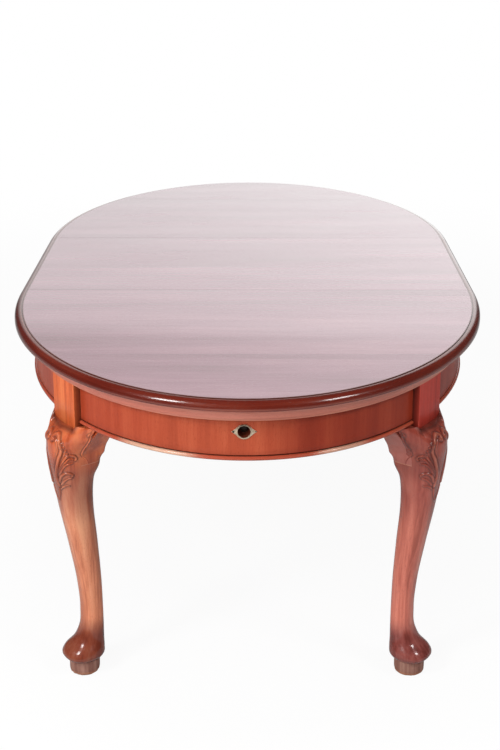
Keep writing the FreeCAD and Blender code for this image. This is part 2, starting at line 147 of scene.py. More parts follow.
def woodPaint(name, dark, middle, light, **changes):
    look = {**mahogany, **changes}
    paint = Paint(name)
    if look["along"]:  # a frame node: its axes, that along the grain first
        own = paint.parts(paint.node("TexCoord", {}, {}, "Object"))
        place = paint.node("CombineXYZ", {}, {i: own[axis] for i, axis in enumerate(look["along"])})
    else:
        place = paint.attribute("grain", "Vector")

    def grained(vector, along, across, detail, roughness=0.55):  # waves a metre, along and across the grain
        return paint.noise(paint.scaled(vector, (along, across, across)), detail, roughness)

    sway = grained(place, 3.0, 6.0, 2.0)
    bent = paint.moved(place, paint.scaled(sway.output("Color"), (0.0, 0.012, 0.012)))
    fibre = grained(bent, 7.0, look["fibre"], 5.0, 0.62)
    stripe = grained(bent, 1.1, look["stripe"], 3.0, 0.5)
    cloud = grained(place, 3.5, 9.0, 2.0)
    pore = grained(bent, 110.0, 1300.0, 1.0).between(0.6, 0.72)
    figure = (stripe - 0.5) * 1.5 + (fibre - 0.5) * 0.9 + (cloud - 0.5) * 0.6
    tone = (figure * look["contrast"] + 0.5).clamped()
    colour = paint.node("ValToRGB", {"stops": [(0.08, dark), (0.5, middle), (0.92, light)]}, {0: tone})
    colour = paint.mix(pore * look["pores"], colour, dark, "MULTIPLY")
    for axis, start, full, fall, end, tint in look["tones"]:  # the wood takes the tint between these places
        along = paint.parts(paint.node("TexCoord", {}, {}, "Object"))[axis] + (cloud - 0.5) * 0.04
        within = along.between(start, full) * (1.0 - along.between(fall, end))
        colour = paint.mix(within, colour, tint, "MULTIPLY")
    smooth = (cloud - 0.5) * 0.22 + pore * 0.08 + look["roughness"]
    if not look["along"]:  # the pieces made here carry wear, with a painted highlight on carved crests, and dirt, with painted shade in the knee's crease and on the block's sides
        dirt = paint.attribute("dirt")
        rubbedAndLit = (paint.attribute("wear") * (cloud * 1.4 + fibre * 0.6)).between(0.35, 0.95)
        # dirt darkens joints and grooves, and as painted shade the crease under the block and the block's
        # sides
        colour = paint.mix(dirt.clamped() * 0.85, colour, look["dirt"])
        # worn edges and carved crests turn paler: wear, and on the crests also a painted highlight
        colour = paint.mix(rubbedAndLit * 0.6, colour, look["worn"])
        smooth = smooth + rubbedAndLit * 0.12 + dirt * 0.2
    height = fibre * 0.4 - pore * 0.8 + cloud * 0.6
    shader = paint.node("BsdfPrincipled", {}, {
        "Base Color": colour, "Roughness": smooth.clamped(), "Coat Weight": look["coat"],
        "Coat Roughness": look["coatRoughness"], "Coat IOR": look["coatIor"],
        "Specular IOR Level": look["specular"],
        "Normal": paint.node("Bump", {}, {"Strength": look["bump"], "Distance": 0.0004, "Height": height}),
    })
    return paint.finish(shader)


beyond = (8.0, 9.0)  # metres, outside the table: a tone that ends here doesn't end


def legTones(foot, shin, knee):
    return (("Z", 0.135, 0.085, *beyond, foot), ("Z", 0.35, 0.44, 0.49, 0.53, shin),
            ("Z", 0.46, 0.52, *beyond, knee))


# the right legs' tones, with their paint below, make them darker at shin and knee: painted shade for the
# light from the left
leftTones = legTones((0.31, 0.19, 0.185), (0.64, 0.53, 0.54), (0.82, 0.49, 0.34))
rightTones = legTones((0.41, 0.36, 0.43), (0.72, 0.6, 0.62), (0.56, 0.38, 0.36))
# the aprons darker to the right and at the far left: painted shade, as the light falls most on the middle
# left
apronPaintedShade = (("X", 0.01, 0.13, *beyond, (0.68, 0.46, 0.44)), ("X", -0.1, -0.3, *beyond, (0.9, 0.76, 0.72)))
# the bead much paler at two places: painted highlights where the lamps catch its top
beadPaintedHighlights = (("X", -0.27, -0.22, -0.15, -0.07, (1.75, 6.0, 8.5)),
             ("X", 0.12, 0.17, 0.21, 0.25, (1.5, 4.6, 6.5)))
legLook = {"roughness": 0.24, "coat": 0.8, "stripe": 42.0, "contrast": 1.5, "pores": 0.5}
blockLook = {"roughness": 0.42, "coat": 0.1, "specular": 0.2, "stripe": 60.0}
bareLook = {"roughness": 0.6, "coat": 0.0}
topPaint = woodPaint(
    "polishedTop", (0.23, 0.1, 0.125), (0.31, 0.145, 0.185), (0.41, 0.21, 0.25), stripe=16.0, coat=1.0,
    coatIor=1.6, specular=0.5, roughness=0.24, coatRoughness=0.07, bump=0.1, pores=0.25, contrast=0.95,
    dirt=(0.035, 0.01, 0.01))
edgePaint = woodPaint(
    "mouldedEdge", (0.08, 0.007, 0.003), (0.13, 0.012, 0.005), (0.2, 0.03, 0.014), roughness=0.26,
    coat=1.0, coatRoughness=0.1, worn=(0.34, 0.09, 0.05))
# the cove paler than the apron: partly a painted reflection of the floor it faces
coveReflectionPaint = woodPaint(
    "coveMahoganyPaintedReflection", (0.48, 0.12, 0.078), (0.64, 0.2, 0.138), (0.75, 0.29, 0.21), contrast=0.7)
apronPaint = woodPaint(
    "apronMahogany", (0.33, 0.048, 0.018), (0.48, 0.082, 0.034), (0.61, 0.138, 0.06), stripe=26.0,
    roughness=0.4, coat=0.1, specular=0.22, contrast=0.6, tones=apronPaintedShade)
beadPaint = woodPaint(
    "beadMahogany", (0.34, 0.052, 0.024), (0.5, 0.09, 0.045), (0.64, 0.16, 0.08), roughness=0.25,
    tones=beadPaintedHighlights)
legPaint = woodPaint(
    "legMahogany", (0.56, 0.16, 0.075), (0.79, 0.275, 0.14), (0.9, 0.39, 0.21), tones=leftTones, **legLook)
# the right legs and blocks: a redder copy, darker as painted shade for the light from the left
redderShadedLegPaint = woodPaint(
    "redderLegMahogany", (0.42, 0.095, 0.062), (0.63, 0.165, 0.112), (0.78, 0.25, 0.17), tones=rightTones,
    **legLook)
blockPaint = woodPaint(
    "blockMahogany", (0.54, 0.095, 0.026), (0.78, 0.165, 0.05), (0.9, 0.27, 0.09), **blockLook)
redderShadedBlockPaint = woodPaint(
    "redderShadedBlockMahogany", (0.37, 0.034, 0.022), (0.54, 0.052, 0.034), (0.66, 0.085, 0.055), **blockLook)
# the right legs' ears: a paler copy, painted light where the light from the left falls on them
litRightEarPaint = woodPaint(
    "paintedLitEar", (0.84, 0.33, 0.26), (0.97, 0.42, 0.34), (0.98, 0.52, 0.44), coat=0.6, stripe=42.0, pores=0.5,
    tones=rightTones[1:])
discPaint = woodPaint(
    "wornDisc", (0.18, 0.075, 0.055), (0.32, 0.145, 0.108), (0.47, 0.26, 0.2), stripe=120.0, bump=0.6,
    **bareLook)
runnerPaint = woodPaint(
    "runnerWood", (0.24, 0.13, 0.07), (0.36, 0.21, 0.115), (0.46, 0.29, 0.165), along="YZX", bump=0.5,
    **bareLook)
railPaint = woodPaint(
    "railWood", (0.22, 0.12, 0.065), (0.33, 0.19, 0.105), (0.43, 0.27, 0.15), along="XYZ", bump=0.5,
    **bareLook)


# metal finishes

def metalPaint(name, colour, tarnish, roughness, waves=(60.0, 60.0, 60.0)):
    paint = Paint(name)
    place = paint.node("TexCoord", {}, {}, "Object")
    cloud = paint.noise(paint.scaled(place, (70.0, 70.0, 70.0)))
    brushed = paint.noise(paint.scaled(place, waves), 4.0, 0.7)
    spots = (cloud * 0.6 + brushed * 0.4).between(0.42, 0.66)
    shader = paint.node("BsdfPrincipled", {}, {
        "Base Color": paint.mix(spots, colour, tarnish), "Metallic": 1.0 - spots * 0.25,
        "Roughness": spots * 0.25 + (brushed - 0.5) * 0.2 + roughness,
        "Normal": paint.node("Bump", {}, {"Strength": 0.2, "Distance": 0.0002, "Height": brushed}),
    })
    return paint.finish(shader)


brassPaint = metalPaint("agedBrass", (0.96, 0.8, 0.6), (0.58, 0.42, 0.29), 0.26, (900.0, 900.0, 900.0))
ironPaint = metalPaint("darkIron", (0.15, 0.14, 0.13), (0.07, 0.05, 0.04), 0.45, (200.0, 30.0, 200.0))
steelPaint = metalPaint("oiledSteel", (0.46, 0.45, 0.44), (0.22, 0.17, 0.13), 0.32, (300.0, 20.0, 300.0))
darkScrewPaint = metalPaint("darkScrew", (0.1, 0.075, 0.05), (0.04, 0.03, 0.02), 0.4)
print("finishes made")


# mesh tools

def stood(name, data):  # a new object in the scene
    thing = bpy.data.objects.new(name, data)
    scene.collection.objects.link(thing)
    return thing


class Shape:  # a piece in the making: points with their grain, their wear and painted highlight, their dirt and painted shade, and faces
    def __init__(self):
        self.points, self.grain, self.wear, self.dirt, self.faces = [], [], [], [], []

    def add(self, places, grain, wear=0.0, dirt=0.0):
        places = np.asarray(places, float)
        self.points += places.reshape(-1, 3).tolist()
        self.grain += np.broadcast_to(np.asarray(grain, float), places.shape).reshape(-1, 3).tolist()
        for own, value in ((self.wear, wear), (self.dirt, dirt)):
            own += np.broadcast_to(value, places.shape[:-1]).ravel().tolist()
        return np.arange(len(self.points))[-places[..., 0].size:].reshape(places.shape[:-1])

    def grid(self, places, grain, wear=0.0, dirt=0.0, round=True, closed=False, capped=False):
        made = self.add(places, grain, wear, dirt)
        self.join(made, round, closed)
        if capped:
            self.cap(made[0])
            self.cap(made[-1])
        return made

    def at(self, made):
        return np.array(self.points)[made]

    def join(self, made, round=False, closed=False):  # faces between the rows of an array of points
        rows, columns = made.shape
        for i in range(rows if closed else rows - 1):
            for j in range(columns if round else columns - 1):
                k, m = (i + 1) % rows, (j + 1) % columns
                self.faces.append([made[i, j], made[i, m], made[k, m], made[k, j]])

    def cap(self, loop):
        self.faces.append(list(loop))

    def copied(self, flip, shift=0.0):  # the same piece on the other side or at the other end
        other = Shape()
        other.points = (np.array(self.points) * flip).tolist()
        other.grain = (np.array(self.grain) + shift).tolist()
        other.wear, other.dirt = self.wear[:], self.dirt[:]
        turned = np.prod(flip) < 0
        other.faces = [face[::-1] if turned else face for face in self.faces]
        return other

    def joined(self, other):
        start = len(self.points)
        for key in ("points", "grain", "wear", "dirt"):
            getattr(self, key).extend(getattr(other, key))
        self.faces += [[index + start for index in face] for face in other.faces]

    def build(self, node, body, slot, paints, name=None, sharp=38.0, weld=2e-6, secondFrom=inf):
        name = name or node[0] + node.title().replace("_", "")[1:]  # frontLeftLeg for front_left_leg
        made = bmesh.new()
        layers = made.verts.layers
        grain = layers.float_vector.new("grain")
        wear, dirt = layers.float.new("wear"), layers.float.new("dirt")
        points = []
        for place, run, worn, soiled in zip(self.points, self.grain, self.wear, self.dirt):
            point = made.verts.new(place)
            point[grain], point[wear], point[dirt] = run, worn, soiled
            points.append(point)
        for number, face in enumerate(self.faces):
            own = list(dict.fromkeys(face))
            if len(own) > 2:
                side = made.faces.new([points[i] for i in own])
                side.smooth = True
                side.material_index = int(number >= secondFrom)  # later faces take the second paint
        bmesh.ops.remove_doubles(made, verts=made.verts, dist=weld)
        bmesh.ops.recalc_face_normals(made, faces=made.faces)
        for edge in made.edges:
            if len(edge.link_faces) == 2:
                edge.smooth = edge.calc_face_angle(0.0) < radians(sharp)
        mesh = bpy.data.meshes.new(name)
        made.to_mesh(mesh)
        made.free()
        piece = stood(name, mesh)
        for paint in paints:
            mesh.materials.append(paint)
        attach(piece, body)
        if node:
            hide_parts(node)


def curve(knots, values, at):  # a smooth line through knots
    knots, values, at = (np.asarray(x, float) for x in (knots, values, at))
    slopes = np.gradient(values, knots)
    i = np.clip(np.searchsorted(knots, at) - 1, 0, len(knots) - 2)
    step = knots[i + 1] - knots[i]
    t = np.clip((at - knots[i]) / step, 0.0, 1.0)
    start = (2 * t**3 - 3 * t**2 + 1) * values[i] + (t**3 - 2 * t**2 + t) * step * slopes[i]
    return start + (3 * t**2 - 2 * t**3) * values[i + 1] + (t**3 - t**2) * step * slopes[i + 1]


def softStep(value, low, high):
    t = np.clip((value - low) / (high - low), 0.0, 1.0)
    return t * t * (3 - 2 * t)


def stacked(*parts):  # arrays side by side in the last axis
    return np.stack(np.broadcast_arrays(*parts), -1)


def stretches(places, counts):  # points from the first place to the last, so many to each stretch
    spans = zip(places, places[1:], counts)
    return np.concatenate([*(np.linspace(*span, endpoint=False) for span in spans), places[-1:]])


def circle(count):
    return np.linspace(0, 2 * pi, count, endpoint=False)


def lengthsAlong(a, b):  # from the start of a line of points to each of them
    return np.concatenate([[0.0], np.cumsum(np.hypot(np.diff(a), np.diff(b)))])


def arc(centre, radii, start, stop, count, wear=0.0):  # points of a profile, angles in degrees
    turns = np.radians(np.linspace(start, stop, count))
    x, z = centre[0] + radii[0] * np.cos(turns), centre[1] + radii[1] * np.sin(turns)
    return stacked(x, z, wear, 0).tolist()


# plan of the table: a half ellipse at each end, and the straight leaf between

plan = {"halfWidth": 0.524, "endReach": 0.698, "jointY": 0.2419, "leafHalf": 0.2415}
ends = (("front", "crank_end", 1), ("rear", "far_end", -1))  # with the sign that turns a front piece round
sides = (("left", 1), ("right", -1))


def planPoint(theta, inset):  # front end, theta from the right joint round to the left one
    c, s = np.cos(theta), np.sin(theta)
    wide, deep = plan["halfWidth"], plan["endReach"]
    length = np.hypot(c / wide, s / deep)
    x = wide * c - inset * c / wide / length
    y = -plan["jointY"] - deep * s + inset * s / deep / length
    return x, y


def runAlong(thetas):  # length along the field's edge
    return lengthsAlong(*planPoint(thetas, 0.0))


def sweep(shape, x, y, run, profile, closed, up=False):
    inset, high, wear, dirt = np.array(profile, float).T
    grain = (high, run, inset) if up else (run, lengthsAlong(inset, high), 0)
    return shape.grid(stacked(x, y, high), stacked(*grain), wear, dirt, round=closed, capped=closed)


def roundSweep(shape, thetas, profile, closed=True, up=False, shift=0.0):  # a profile round the front end
    x, y = planPoint(thetas[:, None], np.array(profile)[:, 0])
    return sweep(shape, x, y, runAlong(thetas)[:, None] + shift, profile, closed, up)


def sideSweep(shape, profile, closed=True, shift=0.0):  # a profile along the leaf's left side
    half, step = plan["leafHalf"], 0.0015
    y = np.array([-half, *np.linspace(step - half, half - step, 9), half])[:, None]
    return sweep(shape, np.array(profile)[:, 0] - plan["halfWidth"], y, y + shift, profile, closed)


# top boards and leaf

boards = {"turns": 56, "glueLine": 0.4531, "lineHalf": 0.0015, "glueDirt": 0.55, "secondPlank": 0.43,
          "across": np.array([0.0, 0.001, 0.02, *np.linspace(0.1, 0.9, 9), 0.98, 0.999, 1.0])}
thumbProfile = [(0.0022, 0.737, 0, 0), (0.0004, 0.7369, 0.2, 0.3), (0, 0.7361, 0, 1),
                (0, 0.7355, 0, 1), (-0.0008, 0.7355, 0, 0.9), (-0.0035, 0.7355, 0.8, 0.1)]
thumbProfile += arc((-0.0035, 0.721), (-0.0145, 0.0145), 82, 6, 13)
thumbProfile += [(-0.018, 0.7209, 0.7, 0), (-0.018, 0.7176, 0.5, 0), (-0.0176, 0.717, 0.3, 0.3)]


def addField(shape, first, last, soiled, shift):  # a flat face in strips between the points of two rims
    flat = first[:, None] + (last - first)[:, None] * boards["across"][:, None]
    shape.grid(flat, flat + shift, 0.0, soiled[:, None], round=False)


def topBoard(node, body, flip, shift):  # two planks glued edge to edge, the rear one beside the leaf
    shape = Shape()
    line, half = boards["glueLine"], boards["lineHalf"]
    drawn = np.arcsin(np.array([half, line - half, line, line + half]) / plan["endReach"])
    quarter = np.sort(np.concatenate([np.linspace(0, pi / 2, boards["turns"] + 1), drawn]))
    thetas = np.concatenate([quarter, pi - quarter[-2::-1]])
    made = roundSweep(shape, thetas, thumbProfile, closed=False, shift=shift)
    edgeFaces = len(shape.faces)
    glued = int(np.argmin(abs(quarter - drawn[2])))
    soiled = np.zeros(len(quarter))
    soiled[0], soiled[glued] = 1.0, boards["glueDirt"]
    for column in (0, -1):  # the field, then the underside
        right, left = (shape.at(rim[:len(quarter)]) for rim in (made[:, column], made[::-1, column]))
        for rows, moved in ((slice(0, glued + 1), 0.0), (slice(glued, None), boards["secondPlank"])):
            addField(shape, right[rows], left[rows], soiled[rows], (shift + moved, moved, 0.01 * column))
    shape.cap(made[0].tolist() + made[-1][::-1].tolist())
    shape = shape.copied(flip, shift)
    shape.build(node, body, "top_wood", [edgePaint, topPaint], weld=5e-6, secondFrom=edgeFaces)


topBoard("front_top", "crank_end", (1, 1, 1), 0.0)
topBoard("rear_top", "far_end", (1, -1, 1), 0.37)


def leafBoard():
    shape = Shape()
    left = sideSweep(shape, thumbProfile, closed=False, shift=0.9)
    right = left + len(shape.points)
    shape.joined(shape.copied((-1, 1, 1), 0.3))
    edgeFaces = len(shape.faces)
    soiled = np.zeros(len(left))
    soiled[[0, -1]] = 1.0
    for column in (0, -1):
        first, last = shape.at(left[:, column]), shape.at(right[:, column])
        addField(shape, first, last, soiled, (0.71, 0.13, 0.02 + 0.01 * column))
    for row in (0, -1):
        shape.cap(left[row].tolist() + right[row][::-1].tolist())
    shape.build("leaf", "leaf", "leaf_wood", [edgePaint, topPaint], "leafBoard", weld=5e-6,
                secondFrom=edgeFaces)


leafBoard()
print("top boards made")


# cove moulding under the top

coveProfile = [(-0.006, 0.717, 0, 0), (-0.006, 0.7136, 0.5, 0)]
coveProfile += arc((-0.006, 0.692), (0.016, 0.021), 88, 3, 14)
coveProfile += [(0.01, 0.6915, 0.5, 0.2), (0.01, 0.688, 0.6, 0.1), (0.0105, 0.6875, 0.4, 0.2),
                (0.026, 0.6875, 0, 0.8), (0.026, 0.717, 0, 0)]
endCove = Shape()
roundSweep(endCove, np.linspace(0, pi, 97), coveProfile)
for end, body, flip in ends:
    endCove = endCove.copied((1, flip, 1), 0.25 * (1 - flip))
    endCove.build(end + "_cove_moulding", body, "moulding_wood", [coveReflectionPaint], end + "Cove")
for side, flip in sides:
    leafCove = Shape()
    sideSweep(leafCove, coveProfile, shift=1.7)
    leafCove = leafCove.copied((flip, 1, 1), 0.2 * flip)
    leafCove.build(f"leaf_{side}_moulding", "leaf", "moulding_wood", [coveReflectionPaint], side + "LeafCove")
print("cove mouldings made")


# where a leg stands, and its own outward and sideways directions

legPlace = {"turn": radians(42.6), "inset": 0.022, "blockBottom": 0.588,
            "block": (0.044, 0.01, -0.058, -0.0045)}
legWide, legDeep = plan["halfWidth"] - legPlace["inset"], plan["endReach"] - legPlace["inset"]
c, s = cos(legPlace["turn"]), sin(legPlace["turn"])
legCorner = np.array([-legWide * c, -plan["jointY"] - legDeep * s])
legOut = np.array([-c / legWide, -s / legDeep])
legOut /= np.linalg.norm(legOut)
legSide = np.array([-legOut[1], legOut[0]])


def legToRoom(out, side, high):
    x, y = (legCorner[i] + out * legOut[i] + side * legSide[i] for i in (0, 1))
    return stacked(x, y, high)


def thetaAtSide(side):  # where the apron's line crosses the side of the left leg's block
    thetas = np.linspace(pi / 2, pi, 4001)
    x, y = planPoint(thetas, apron["outer"])
    across = (x - legCorner[0]) * legSide[0] + (y - legCorner[1]) * legSide[1]
    return thetas[np.argmin(abs(across - side))]


# aprons, the front one with the winder's hole, and the bead below them

apron = {"outer": 0.026, "inner": 0.048, "bottom": 0.607, "arris": 0.6105, "top": 0.717, "window": 0.024,
         "rows": (0.622, 0.635, 0.647, 0.659, 0.671, 0.683, 0.699), "flatHalf": 0.05, "flatDeep": 0.002,
         "seat": -0.9129, "innerSeat": -0.8919, "holeX": -0.004, "holeZ": 0.659, "holeRadius": 0.0125,
         "taper": 0.0025, "spans": (31, 8, 31), "holeRows": (2, 6), "innerShare": 0.985}
nearSide, farSide = thetaAtSide(0.042), thetaAtSide(-0.042)
apronProfile = [(0.026, 0.6105, 0, 0.1), (0.026, 0.717, 0, 0), (0.048, 0.717, 0, 0), (0.048, 0.607, 0, 0),
                (0.0285, 0.607, 0, 1), (0.0275, 0.6088, 0, 1), (0.0262, 0.6098, 0.4, 0.7)]
beadProfile = arc((0.026, 0.603), (0.004, 0.004), 92, 268, 13, 0.25)
beadProfile += [(0.048, 0.599, 0.3, 0), (0.048, 0.607, 0, 0), (0.0285, 0.607, 0, 1)]


def apronPoint(x, z, inset, seat):  # places on a face of the front apron, which is flat round the hole
    thetas, measured = np.linspace(0.1, pi - 0.1, 6001), np.linspace(0, pi, 97)
    theta = np.interp(-x, -planPoint(thetas, inset)[0], thetas)
    y = planPoint(theta, inset)[1]
    flat = (abs(x) < apron["flatHalf"]) & (y < seat) & (y > seat - apron["flatDeep"])
    run = np.interp(theta, measured, runAlong(measured))
    return stacked(x, np.where(flat, seat, y), z), stacked(z, run, inset)


def holedFace(shape, columns, depth):  # the front apron's outer face at depth 0, its inner face at 1
    face = ((apron["outer"], apron["seat"]), (apron["inner"], apron["innerSeat"]))[depth]
    rows = np.array([(apron["arris"], apron["bottom"])[depth], *apron["rows"], apron["top"]])
    places, grain = apronPoint(*np.meshgrid(columns, rows, indexing="ij"), *face)
    made = shape.add(places, grain, 0.0, 0.15 * (rows < 0.615))
    (first, last), (bottom, top) = np.cumsum(apron["spans"])[:2], apron["holeRows"]  # they frame the hole
    middle = made[first:last + 1]
    for block in (made[:first + 1], middle[:, :bottom + 1], middle[:, top:], made[last:]):
        shape.join(block)
    loop = [*made[first:last, bottom], *made[last, bottom:top], *made[last:first:-1, top],
            *made[first, top:bottom:-1]]
    square = shape.at(loop)[:, [0, 2]]
    centre = (apron["holeX"], apron["holeZ"])
    turn = np.arctan2(*(square - centre).T[::-1])
    radius = apron["holeRadius"] - apron["taper"] * depth  # narrower inside, to look dark
    ring = stacked(np.cos(turn), np.sin(turn)) * radius + centre
    rings = [loop]
    for share in (0.35, 0.7, 1.0):
        spot = square * (1 - share) + ring * share
        places, grain = apronPoint(spot[:, 0], spot[:, 1], *face)
        rings.append(shape.add(places, grain, 0.0, (share == 1.0) * (0.6 + 0.4 * depth)))
    shape.join(np.array(rings), round=True)
    return made, rings[-1]


def frontApron():
    shape = Shape()
    edge = planPoint(np.array([nearSide]), apron["outer"])[0][0]
    middle, half = apron["holeX"], apron["window"]
    spread = stretches((edge, middle - half, middle + half, -edge), apron["spans"])
    outer, hole = holedFace(shape, spread, 0)
    inner, backHole = holedFace(shape, spread * apron["innerShare"], 1)
    brink = shape.at(hole)
    wall = shape.add(brink + (0, 0.001, 0), brink[:, [2, 0, 1]], 0.0, 1.0)
    shape.join(np.array([hole, wall, backHole]), round=True)
    lip = []
    for inset, high, *_ in apronProfile[:3:-1]:  # the rounded lower edge
        places = apronPoint(spread, high, inset, apron["seat"])[0]
        lip.append(shape.add(places, stacked(high, spread, inset), 0.0, 1.0))
    shape.join(np.array([outer[:, 0], *lip, inner[:, 0]]).T)
    shape.join(np.array([outer[:, -1], inner[:, -1]]).T)
    return shape


frontApron().build("front_apron", "crank_end", "apron_wood", [apronPaint])
plainApron, beads, betweenLegs = Shape(), Shape(), (pi - nearSide, nearSide, 81)
roundSweep(plainApron, np.linspace(*betweenLegs), apronProfile, up=True)
plainApron = plainApron.copied((1, -1, 1), 0.61)
plainApron.build("rear_apron", "far_end", "apron_wood", [apronPaint])
for stretch in (betweenLegs, (0.0, pi - farSide, 17), (farSide, pi, 17)):
    roundSweep(beads, np.linspace(*stretch), beadProfile)
beads.build("front_beads", "crank_end", "apron_wood", [beadPaint])
beads.copied((1, -1, 1), 0.4).build("rear_beads", "far_end", "apron_wood", [beadPaint])
for end, body, yFlip in ends:
    for side, xFlip in sides:
        sideApron = Shape()
        roundSweep(sideApron, np.linspace(farSide, pi, 21), apronProfile, up=True)
        sideApron = sideApron.copied((xFlip, yFlip, 1), 0.23 * xFlip + 0.11 * yFlip)
        sideApron.build(f"{end}_{side}_apron", body, "apron_wood", [apronPaint])
print("aprons and beads made")


# cabriole legs: height share, sweep in 40 mm, and half depth and half width in 46 mm

legRows = np.array([
    (0, -.3, .837, .837), (.015, -.288, .965, .965), (.036, -.36, .93, .93), (.07, -.635, .715, .715),
    (.116, -.825, .576, .576), (.2, -.885, .525, .525), (.317, -.808, .554, .554), (.496, -.513, .661, .661),
    (.676, -.168, .785, .785), (.722, -.12, .83, .825), (.77, -.095, .905, .895), (.819, -.13, 1.04, .945),
    (.862, -.125, 1.095, .95), (.915, -.07, 1.115, .95), (.955, -.1, 1.08, .95), (.98, -.24, .985, .95),
    (1.0, -.48, .87, .95)])
cabriole = {"bottom": 0.036, "height": 0.552, "scales": (0.04, 0.046, 0.046), "power": 2.3,
            "swell": 0.00595, "swollen": (0.468, 0.505), "swellTurn": (132, 27)}
wing = {"bottom": 0.505, "grown": 0.535, "top": 0.599, "edgeTurn": 100.0, "backTurn": 128, "step": 0.006,
        "bodyTurn": 82, "bodyMoves": 54, "moved": (0.515, 0.565), "backSpan": 26, "backOut": 0.02,
        "heights": (0.5, 0.515, 0.53, 0.545, 0.561, 0.58, 0.592, 0.6),
        "edges": (0.0435, 0.044, 0.0458, 0.054, 0.067, 0.0815, 0.091, 0.094),
        "outs": (0.0, -0.001, -0.0035, -0.006, -0.009, -0.0125, -0.018, -0.021)}
knee = {"stem": [(12, 566), (8, 564), (6, 568), (9, 574), (16, 576), (24, 571), (31, 562),
                 (34, 551), (33, 538), (26, 524), (19, 506), (14, 490), (13, 475), (15, 460)],
        "inner": [(17, 566), (24, 558), (26, 543), (19, 524), (12, 506), (8, 490)],
        "ribs": [[(15, 480), (24, 499), (32, 513), (39, 524), (46, 532), (54, 534), (61, 531), (64, 525),
                  (60, 521)],
                 [(20, 482), (30, 503), (40, 517), (49, 525), (57, 524)],
                 [(19, 478), (27, 493), (35, 506), (44, 513), (54, 515)],
                 [(14, 458), (20, 473), (28, 486), (37, 492), (45, 492), (51, 488), (48, 484)],
                 [(17, 456), (26, 468), (37, 478), (49, 482)],
                 [(14, 450), (24, 458), (33, 463), (40, 463)]],
        "tail": [(14, 460), (12, 448), (9, 436), (4, 426), (0, 420)],
        "beads": [(37, 561), (41, 553), (45, 545), (47, 537)]}


def alongLine(points):  # a smooth line through points given in millimetres
    points = np.array(points, float) / 1000
    at = np.linspace(0, len(points) - 1, len(points) * 10 - 9)
    knots = np.arange(len(points))
    return stacked(curve(knots, points[:, 0], at), curve(knots, points[:, 1], at))


def distanceTo(line, u, z):
    best, share = np.ones(u.shape), np.zeros(u.shape)
    for k, (a, b) in enumerate(zip(line[:-1], line[1:])):
        d = b - a
        t = np.clip(((u - a[0]) * d[0] + (z - a[1]) * d[1]) / max(d @ d, 1e-12), 0, 1)
        away = np.hypot(u - a[0] - t * d[0], z - a[1] - t * d[1])
        share = np.where(away < best, (k + t) / (len(line) - 1), share)
        best = np.minimum(best, away)
    return best, share


def hump(value, middle, width):  # 1 at the middle, less on both sides
    return np.exp(-(((value - middle) / width) ** 2))


def strand(away, width):  # a round raised line with a cut groove at each side
    return np.sqrt(np.clip(1 - (away / width) ** 2, 0, 1)), hump(away, width * 1.25, width * 0.45)


def kneeCarving(u, z):  # relief in metres, and the dirt in its grooves, over the unrolled knee
    side = abs(u)
    relief, ground = np.zeros(u.shape), np.zeros(u.shape)

    def put(line, width, lift, taper):
        nonlocal relief, ground
        away, share = distanceTo(alongLine(line), side, z)
        raised, groove = strand(away, width * (1 - taper * share))
        relief = np.maximum(relief - 0.0011 * groove, raised * lift - 0.0006 * groove)
        halo = 0.35 * hump(away, 0, 0.006) * (1 - raised)
        ground = np.maximum(ground * (1 - raised), np.maximum(groove, halo))

    put(knee["inner"], 0.0024, 0.0012, 0.5)
    for number, rib in enumerate(knee["ribs"]):
        width, lift = (0.0034, 0.0026) if number in (0, 3) else (0.0028, 0.0018)  # the main rib of each spray
        put(rib, width, lift, 0.35)
    put(knee["tail"], 0.004, 0.0018, 0.4)
    put(knee["stem"], 0.0036, 0.003, -0.15)
    for x, high in knee["beads"]:
        raised, groove = strand(np.hypot(side - x / 1000, z - high / 1000), 0.0028)
        relief = relief + raised * 0.0016 - groove * 0.0005
        ground = np.maximum(ground, groove * 0.8)
    fade = softStep(z, 0.412, 0.425) * softStep(0.5865 - z, 0.0, 0.004)
    return relief * fade, ground * fade


def edgeAt(z, key):  # the knee's side edge spreads, and rolls back under the bead
    return curve(wing["heights"], wing[key], z)


def legSection(z):  # centre, half depth and half width of the cabriole at a height
    share = (z - cabriole["bottom"]) / cabriole["height"]
    return [curve(legRows[:, 0], legRows[:, i + 1], share) * cabriole["scales"][i] for i in range(3)]


def squared(value):  # a sine or cosine that gives a squarish outline
    return np.sign(value) * abs(value) ** (2 / cabriole["power"])


def swellAt(z, degrees):  # the leg widens toward its ears just under them
    risen = softStep(z, *cabriole["swollen"])
    return cabriole["swell"] * risen * hump(abs(degrees), *cabriole["swellTurn"])


def swollenSection(z):  # the back quarter of the leg's outline at a height
    centre, deep, wide = legSection(z)
    turn = np.radians(np.linspace(60, 180, 61))
    swell = swellAt(z, np.degrees(turn))
    return centre + deep * squared(np.cos(turn)) - swell, wide * squared(np.sin(turn)) + swell


def blend(old, new, share):
    return old * (1 - share) + new * share


